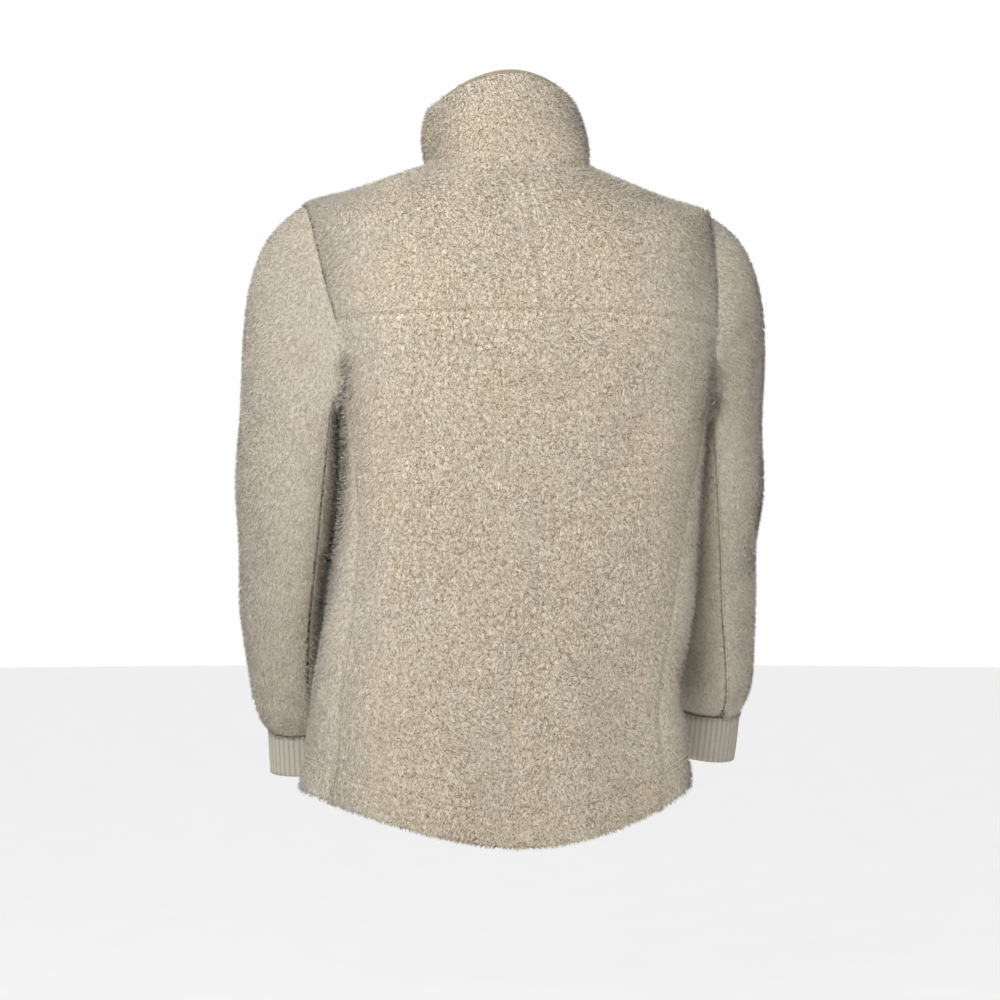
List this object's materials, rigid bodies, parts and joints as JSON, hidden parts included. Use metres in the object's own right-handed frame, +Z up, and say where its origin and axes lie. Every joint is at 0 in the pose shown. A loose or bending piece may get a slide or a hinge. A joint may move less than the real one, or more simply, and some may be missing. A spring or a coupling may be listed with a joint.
{
  "type": "fleece jacket",
  "caption": "Hollow worn fleece jacket with a zipped front, stand collar, set-in sleeves, ribbed cuffs and a dropped back hem.",
  "frame": {"origin": "at the base of the neck, midway between the shoulders, where the wearer holds the jacket up", "axes": "+Z up, the jacket's front faces -Y, and the wearer's left is +X"},
  "size_m": [0.5795, 0.2813, 0.7982],
  "materials": {
    "pile": "cream high-pile fleece, soft and matt",
    "facing": "smooth knit facing inside the collar",
    "rib": "ribbed knit cuffs",
    "tape": "woven zip tape",
    "zip_metal": "satin metal"
  },
  "bodies": {
    "jacket": {"back_panel": "pile", "back_yoke_left": "pile", "back_yoke_right": "pile", "front_left": "pile", "front_right": "pile", "sleeve_upper_left": "pile", "sleeve_under_left": "pile", "sleeve_upper_right": "pile", "sleeve_under_right": "pile", "cuff_left": "rib", "cuff_right": "rib", "collar_outer": "pile", "collar_facing": "facing", "zip_tape_left": "tape", "zip_tape_right": "tape", "zip_chain": "zip_metal", "zip_box": "zip_metal", "zip_slider": "zip_metal", "zip_bridge": "zip_metal"},
    "pull": {"zip_pull": "zip_metal"}
  },
  "joints": [
    {"name": "pull_hinge", "type": "hinge", "parent": "jacket", "child": "pull", "pos_m": [-0.00356, -0.09856, 0.00594], "axis": [-1, 0, 0], "range_deg": [-8, 150]}
  ]
}
